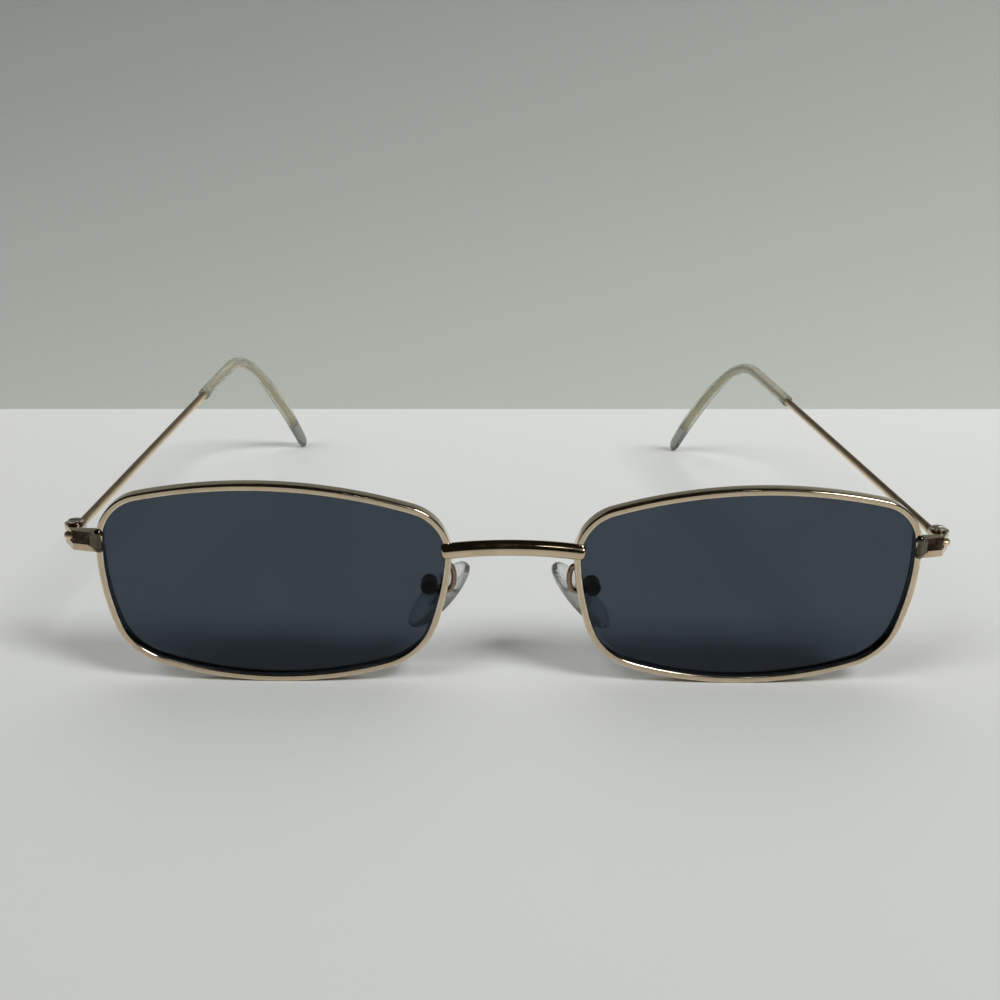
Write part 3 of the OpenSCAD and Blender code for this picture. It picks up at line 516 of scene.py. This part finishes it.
def lug_back(points):
    """Leans the lug and its slope back like the front of the block: y grows by tan(lug_lean) times
    the height above the parting line, for points near the eyewire and in front."""
    local = points / mm - [0, front, 0]
    high = local[:, 2] - slit_z.mean()
    near = np.abs(local[:, 0]) < outer_x + rim_w / 2 + lug_out
    moved = near & (local[:, 1] < lug_behind) & (high < lug_top)
    return points + np.where(moved, math.tan(lug_lean) * high * mm, 0)[:, None] * [0, 1, 0]


def paint_lug_shade(mesh, reach):
    """Paints the lug, which is joined by brazing over the eyewire, dark up to reach millimetres out
    from the middle of the eyewire's section: painted dark reflection of the dark room."""
    local = points_of(mesh) / mm - [0, front, 0]
    from_middle = np.abs(local[:, 0]) - outer_x - rim_w / 2
    lug_shaded = (from_middle < reach) & (local[:, 1] < shade_behind)
    return mark(mesh, "darkened", shade_share * lug_shaded)


def crisp(piece):
    """Keeps flat faces flat beside rounded edges: a corner's normal leans to its largest face."""
    weighted = piece.modifiers.new("crisp", "WEIGHTED_NORMAL")
    weighted.keep_sharp = True
    weighted.weight = 80


# The block's gold is painted darker than the frame's gold, as painted dark reflection of the dark
# room.
block_gold = plating("block_gold", (0.66, 0.52, 0.36), (0.49, 0.38, 0.26), smooth=0.05, worn=0.14)
screw_metal = plating("screw_gold", (0.66, 0.60, 0.52), (0.52, 0.47, 0.40), smooth=0.08, worn=0.2)
for side, name in sides:
    # The lug of each block is painted dark: painted dark reflection of the dark room.
    upper = paint_lug_shade(softened(name + "_end_piece", block_ease, shape=lug_back), block_reach)
    crisp(put(name + "_hinge_block", upper, block_gold, "gold_frame", "front",
              name + "_end_piece"))
    lower = paint_lug_shade(softened(name + "_rim_lock", block_ease), lock_reach)
    crisp(put(name + "_closing_block", lower, block_gold, "gold_frame", "front",
              name + "_rim_lock"))
    for screw in (name + "_hinge", name + "_rim"):
        crisp(put(screw + "_slotted_screw", softened(screw + "_screw", screw_ease), screw_metal,
                  "screw_gold", "front", screw + "_screw"))


# The two temples.
# A temple is one wire, pressed flat at the front into a tongue with an eye and a stop nose, and
# bent down behind the ear. Its gold is painted paler than the front's, painted light on the wire,
# with a soft satin shine.
hinge_out, hinge_behind = 5.65, 6.6
pivot = np.array([outer_x + hinge_out, hinge_behind])
eye_r, nose_r, nose_at = 1.45, 0.9, np.array([0.35, -2.25])
hinge_screw_d, eye_clear = 1.2, 0.04
tongue_t, tongue_w, tongue_l, tongue_short, tongue_round = 1.0, 1.5, 3.6, 0.09, 0.42
wire_out, wire_d, converge = 0.2, 1.4, math.radians(6)
root_l, root_swell, dome_from, dome_l, dome_first = 3.0, 0.2, 2.75, 0.55, 0.15
temple_l, straight_l, bend_r, bend_turn, drop_r = 143.0, 96.5, 24.5, math.radians(45.5), 61.0
bend_lean, tip_round, paddle_w, paddle_t = math.radians(18), 2.4, 3.7, 2.2
solid_end, core_spare = 7.0, 0.4
bend_end = straight_l + bend_r * bend_turn
root_end, core_end = tongue_l + root_l, temple_l - solid_end - core_spare
drop_l = temple_l - tip_round - straight_l - bend_r * bend_turn
full_turn = bend_turn + drop_l / drop_r


def route(distance):
    """Turn of the temple and its place in its own plane, forward and towards the inside of the
    bend, after each distance from the hinge: a straight, an arc of bend_r, then one of drop_r."""
    on_bend = (distance - straight_l) / bend_r
    on_drop = bend_turn + (distance - temple_l + tip_round + drop_l) / drop_r
    turn = np.clip(np.minimum(on_bend, on_drop), 0, None)
    bend = np.minimum(turn, bend_turn)
    far = (np.minimum(distance, straight_l) + bend_r * np.sin(bend)
           + drop_r * (np.sin(turn) - np.sin(bend)))
    down = bend_r * (1 - np.cos(bend)) + drop_r * (np.cos(bend) - np.cos(turn))
    return turn, (far, down)


def axes(up):
    """Forward, inside-of-the-bend and sideways directions of a temple that rises by up."""
    inwards, backwards = -math.sin(converge), math.cos(converge)
    forward = np.array([inwards * math.cos(up), backwards * math.cos(up), math.sin(up)])
    steep = np.array([inwards * math.sin(up), backwards * math.sin(up), -math.cos(up)])
    to_head = np.array([-backwards, inwards, 0])
    inside = math.cos(bend_lean) * steep + math.sin(bend_lean) * to_head
    return forward, inside, np.cross(forward, inside)


# The rise that lets the tip's lowest point stand on the table, found in four rounds.
rise = 0.0
_, (end_far, end_fall) = route(np.array(temple_l - tip_round))
for _ in range(4):
    forward, inside, across = axes(rise)
    tip_way = math.cos(full_turn) * forward + math.sin(full_turn) * inside
    end_drop = np.linalg.norm([tip_round * tip_way[2], paddle_w / 2 * np.cross(across, tip_way)[2],
                               paddle_t / 2 * across[2]])
    fall = end_fall * math.cos(bend_lean)
    rise = math.atan2(fall, end_far) + math.asin((end_drop - hinge_z) / math.hypot(end_far, fall))
forward, inside, across = axes(rise)


def wire_rings(distance, wide, thick, steps=28, bulge=None):
    """One ellipse across the temple at each distance, wide in the plane of the bend and thick
    across it. A ring may be pushed on by bulge along its direction."""
    turn, (far, down) = route(distance)
    wire_start = [pivot[0] + wire_out, pivot[1], hinge_z]
    centre = wire_start + far[:, None] * forward + down[:, None] * inside
    way = np.cos(turn)[:, None] * forward + np.sin(turn)[:, None] * inside
    centre = centre if bulge is None else centre + np.reshape(bulge, (-1, 1)) * way
    flat = np.cross(across, way)
    t = np.linspace(0, 2 * math.pi, steps, endpoint=False)
    half_w, half_t = (np.broadcast_to(d, distance.shape)[:, None, None] / 2 for d in (wide, thick))
    return (centre[:, None] + np.cos(t)[:, None] * across * half_t
            + np.sin(t)[:, None] * flat[:, None] * half_w)


def ease(t):
    """Smooth step from 0 to 1: three times the square less twice the cube."""
    t = np.clip(t, 0, 1)
    return t * t * (3 - 2 * t)


def tongue_edge(turn):
    """Distance of the tongue's edge from the hinge axis in each direction: the farthest of the eye,
    the nose and the straight strip."""
    way = np.stack([np.cos(turn), np.sin(turn)], -1)
    on = way @ nose_at
    nose = on + np.sqrt(np.clip(nose_r ** 2 - (nose_at @ nose_at - on ** 2), 0, None))
    nose = np.where((nose_at @ nose_at - on ** 2 < nose_r ** 2) & (on > 0), nose, 0)
    local = way @ np.array([[math.cos(converge), -math.sin(converge)],
                            [math.sin(converge), math.cos(converge)]])
    middle = wire_out * math.cos(converge)
    sideways = np.where(np.abs(local[:, 0]) < 1e-9, 1e-9, local[:, 0])
    reach_side = np.where(sideways > 0, (middle + tongue_w / 2) / sideways, np.inf)
    ahead = np.maximum(local[:, 1], 1e-6)
    reach_end = np.where(local[:, 1] > 1e-6, (tongue_l - tongue_short) / ahead, 0)
    strip = np.minimum(reach_side, reach_end)
    strip = np.where(strip * local[:, 0] > middle - tongue_w / 2, strip, 0)
    return np.maximum.reduce([np.full(turn.shape, eye_r), nose, strip])


# The wire's gold is painted paler than the front's gold, as painted light.
wire_gold = plating("wire_gold", (0.94, 0.75, 0.53), (0.84, 0.66, 0.46),
                    smooth=0.34, worn=0.48, ripple=0.000003)
turn = np.linspace(0, 2 * math.pi, 144, endpoint=False)
swing = np.linspace(math.pi / 2, -math.pi / 2, 9)
hole_reach = np.full((2, len(turn)), hinge_screw_d / 2 + eye_clear)
edge_reach = tongue_edge(turn) + tongue_round * (np.cos(swing)[:, None] - 1)
reach = np.concatenate([hole_reach, edge_reach])
edge_up = (0.5 - tongue_round) * np.sign(swing) + tongue_round * np.sin(swing)
height = hinge_z + tongue_t * np.append([-0.5, 0.5], edge_up)[:, None]
tongue = np.stack([pivot[0] + reach * np.cos(turn), pivot[1] + reach * np.sin(turn),
                   np.broadcast_to(height, reach.shape)], -1)

swing = np.linspace(dome_first, math.pi / 2, 9)
wire_at = np.concatenate([
    dome_from + dome_l * (1 - np.cos(swing)), np.linspace(tongue_l, root_end, 10),
    np.linspace(root_end + wire_d, straight_l, 24), np.linspace(straight_l, bend_end, 34)[1:],
    np.linspace(bend_end, core_end, 20)[1:]])
dome = np.append(np.sin(swing), np.ones(len(wire_at) - len(swing)))
swell = root_swell * (1 - ease((wire_at - tongue_l) / root_l))
wire_grid = wire_rings(wire_at, dome * wire_d, dome * (wire_d + swell))
for side, name in sides:
    put(name + "_temple_wire", skin(name + "_temple_wire", place(wire_grid, side)), wire_gold,
        "gold_wire", name + "_temple", name + "_temple")
    put(name + "_hinge_tongue", skin(name + "_hinge_tongue", place(tongue, side), loop=True),
        wire_gold, "gold_wire", name + "_temple")


# The two temple tips.
# Clear soft plastic sleeves, pushed hot over the ends of the wires, which show through them. They
# widen behind the ear to a flat rounded paddle and have yellowed a little.
tip_l, tip_d, tip_clear, mouth_round, belly_most = 68.0, 2.35, 0.02, 0.22, 0.5
widen_over, dark_before, dark_over, cap_short = 0.75 * drop_l, 4.0, 5.0, 0.03
clear_tip, tree, shader, coords = finish("clear_tip", Transmission_Weight=0.82, IOR=1.3)
tinted(tree, shader, coords, 0.008,
       light=(0.80, 0.82, 0.73), deep=(0.72, 0.74, 0.64), dark=(0.34, 0.35, 0.32))
spread(tree, grain(tree, coords, 0.002, detail=5), 0.12, 0.24, shader.inputs["Roughness"])
relief(tree, grain(tree, coords, 0.003, detail=2), 0.00003, shader)


def widen(narrow, wide, distance):
    """Size of the sleeve at each distance from the hinge: narrow up to the end of the bend, then
    eased out to wide over widen_over."""
    return narrow + (wide - narrow) * ease((distance - bend_end) / widen_over)


mouth = temple_l - tip_l
bore_at = np.concatenate([
    np.linspace(temple_l - solid_end, bend_end, 18), np.linspace(bend_end, straight_l, 30)[1:],
    np.linspace(straight_l, mouth, 6)[1:]])
outer_at = np.concatenate([
    np.full(4, mouth), np.linspace(mouth, straight_l, 10)[1:],
    np.linspace(straight_l, bend_end, 30)[1:], np.linspace(bend_end, temple_l - tip_round, 40)[1:]])
lip_turn = np.linspace(0, math.pi / 2, 5)[:4]
past_lip = np.zeros(len(outer_at) - len(lip_turn))
lip_in = np.append(mouth_round * (1 - np.sin(lip_turn)), past_lip)
lip_on = np.append(mouth_round * (1 - np.cos(lip_turn)), past_lip)
belly = belly_most * np.sin(math.pi * np.clip((outer_at - bend_end) / drop_l, 0, 1))
outer = wire_rings(outer_at, widen(tip_d, paddle_w, outer_at) - 2 * lip_in,
                   widen(tip_d, paddle_t, outer_at) - 2 * lip_in + belly, bulge=lip_on)
dome = np.append(np.linspace(0, math.pi / 2, 10)[1:-1], math.pi / 2 - cap_short)
cap = wire_rings(np.full(len(dome), temple_l - tip_round), paddle_w * np.cos(dome),
                 paddle_t * np.cos(dome), bulge=tip_round * np.sin(dome))
bore = wire_rings(bore_at, wire_d + 2 * tip_clear, wire_d + 2 * tip_clear)
tip_grid = np.concatenate([bore, outer, cap])

# The solid end past the wire is darker, and darkens over the last millimetres before it.
outer_dark = ease((outer_at - temple_l + solid_end + dark_before) / dark_over)
tip_dark = np.concatenate([np.zeros(len(bore_at)), outer_dark, np.ones(len(dome))])
tip_dark = np.repeat(tip_dark, tip_grid.shape[1])
for side, name in sides:
    tip = mark(skin(name + "_clear_tip", place(tip_grid, side)), "darkened", tip_dark)
    put(name + "_clear_tip", tip, clear_tip, "clear_tip", name + "_temple", name + "_temple_tip")


# The pad arms and pad boxes.
# A bent wire is brazed to the back of each eyewire and carries a small round can. A slot in the can
# takes the pad's insert, and a tiny screw from behind holds it.
pad_x, pad_y, pad_z = 11.5, 7.4, 12.1
box_out, box_up, box_front = 1.5, 2.35, 4.7
box_x, box_z = pad_x + box_out, pad_z + box_up
arm_d, arm_rise, arm_bow, arm_back, arm_gap = 0.9, 4.5, 1.1, 3.3, 0.02
can_ease, tiny_ease = 0.00012, 0.00004
arm_z = box_z + arm_rise
nasal_reach = math.sqrt(nasal_arc[2] ** 2 - (arm_z - nasal_arc[1]) ** 2)
root_x = nasal_arc[0] - nasal_reach - rim_w / 2
half_loop = np.linspace(0, math.pi, 6)[1:]
loop_x = root_x - arm_bow * np.sin(half_loop)
loop_z = box_z + arm_rise * (1 + np.cos(half_loop)) / 2
bends = np.vstack([
    [root_x, rim_depth + arm_gap, arm_z],
    np.stack([loop_x, np.full(len(half_loop), arm_back), loop_z], -1),
    [box_x - 2 * arm_d, arm_back, box_z],
    [box_x - arm_d / 2, (arm_back + box_front) / 2, box_z],
    [box_x - arm_d / 2, box_front, box_z]])


def glide(points, steps):
    """Smooth curve through points: between two of them it is the cubic whose slope at each point is
    half the step from the one before to the one after."""
    p = np.vstack([points[:1], points, points[-1:]])
    t = np.linspace(0, 1, steps, endpoint=False)[None, :, None]
    a, b, c, d = (p[i:len(points) - 1 + i][:, None] for i in range(4))
    square, cube = 2 * a - 5 * b + 4 * c - d, 3 * b - a - 3 * c + d
    curve = (2 * b + (c - a) * t + square * t ** 2 + cube * t ** 3) / 2
    return np.vstack([curve.reshape(-1, 3), points[-1:]])


arm_path = glide(bends, 8)
way = np.gradient(arm_path, axis=0)
way[0] = way[-1] = [0, 1, 0]
way /= np.linalg.norm(way, axis=1, keepdims=True)
seam = np.array([0.3, 0.2, 1.0])
up = seam - (way @ seam)[:, None] * way
up /= np.linalg.norm(up, axis=1, keepdims=True)
turn = np.linspace(0, 2 * math.pi, 24, endpoint=False)[:, None]
ring = np.cos(turn) * up[:, None] + np.sin(turn) * np.cross(up, way)[:, None]
arm_grid = arm_path[:, None] + arm_d / 2 * ring
# The pad arms' gold is painted nearly black: painted shade and dark reflection behind the eyewire.
shaded_arm_gold = plating("shaded_arm_gold", (0.32, 0.23, 0.16), (0.20, 0.14, 0.10), smooth=0.06, worn=0.16)
for side, name in sides:
    put(name + "_arm_wire", skin(name + "_arm_wire", place(arm_grid, side)), shaded_arm_gold, "gold_frame",
        "front", name + "_pad_arm")
    put(name + "_pad_can", softened(name + "_pad_box", can_ease), block_gold, "gold_frame",
        "front", name + "_pad_box")
    put(name + "_pad_slotted_screw", softened(name + "_pad_screw", tiny_ease), screw_metal,
        "screw_gold", "front", name + "_pad_screw")


# The nose pads.
# Clear soft pads, shaped like a flattened egg that is wider at the bottom, each moulded over a hard
# clear insert whose tab rocks in the slot of the pad box. Their rims are painted darker than the
# middle, painted shade and reflection that a clear pad shows at its edges.
pad_l, pad_w, pad_t, pad_egg = 13.9, 7.8, 2.1, 0.03
rim_from, rim_over, pole_turn, insert_ease = 0.86, 0.1, 87, 0.00005
splay, flare = math.radians(42), math.radians(20)
pad_long = np.array([math.sin(splay), 0, -math.cos(splay)])
pad_flat = np.array([math.cos(splay) * math.cos(flare), -math.sin(flare),
                     math.sin(splay) * math.cos(flare)])
pad_flat /= np.linalg.norm(pad_flat)
pad_wide = np.cross(pad_long, pad_flat)
pad_down = pad_long - (pad_long @ pad_flat) * pad_flat
pad_down /= np.linalg.norm(pad_down)
clear_pad, tree, shader, coords = finish("clear_pad", Transmission_Weight=0.88, IOR=1.34)
tinted(tree, shader, coords, 0.004,
       light=(0.97, 0.98, 0.97), deep=(0.92, 0.93, 0.91), dark=(0.52, 0.53, 0.51))
spread(tree, grain(tree, coords, 0.0015, detail=4), 0.03, 0.10, shader.inputs["Roughness"])
relief(tree, grain(tree, coords, 0.002, detail=2), 0.00002, shader)
hard_insert, tree, shader, coords = finish("hard_insert", Transmission_Weight=0.85, IOR=1.5)
spread(tree, grain(tree, coords, 0.002), (0.88, 0.89, 0.87), (0.80, 0.81, 0.79),
       shader.inputs["Base Color"])
spread(tree, grain(tree, coords, 0.0008), 0.12, 0.2, shader.inputs["Roughness"])
t = np.sin(np.radians(np.linspace(-pole_turn, pole_turn, 44)))[:, None, None]
turn = np.linspace(0, 2 * math.pi, 56, endpoint=False)[None, :, None]
thin = np.sqrt(1 - t ** 2)
pad_grid = (np.array([pad_x, pad_y, pad_z]) + pad_l / 2 * t * pad_down
            + pad_w / 2 * thin * (1 + pad_egg * t) * np.cos(turn) * pad_wide
            + pad_t / 2 * np.sqrt(thin) * np.sin(turn) * pad_flat)
# The pad's rim is painted darker: painted shade and reflection at its edges.
edge_near = np.sqrt(t ** 2 + (thin * np.cos(turn)) ** 2)
pad_dark = ease((edge_near - rim_from) / rim_over)
for side, name in sides:
    pad = mark(skin(name + "_soft_pad", place(pad_grid, side)), "darkened", pad_dark)
    put(name + "_soft_pad", pad, clear_pad, "clear_pad", name + "_pad", name + "_nose_pad")
    put(name + "_insert", softened(name + "_pad_insert", insert_ease), hard_insert, "pad_insert",
        name + "_pad", name + "_pad_insert")
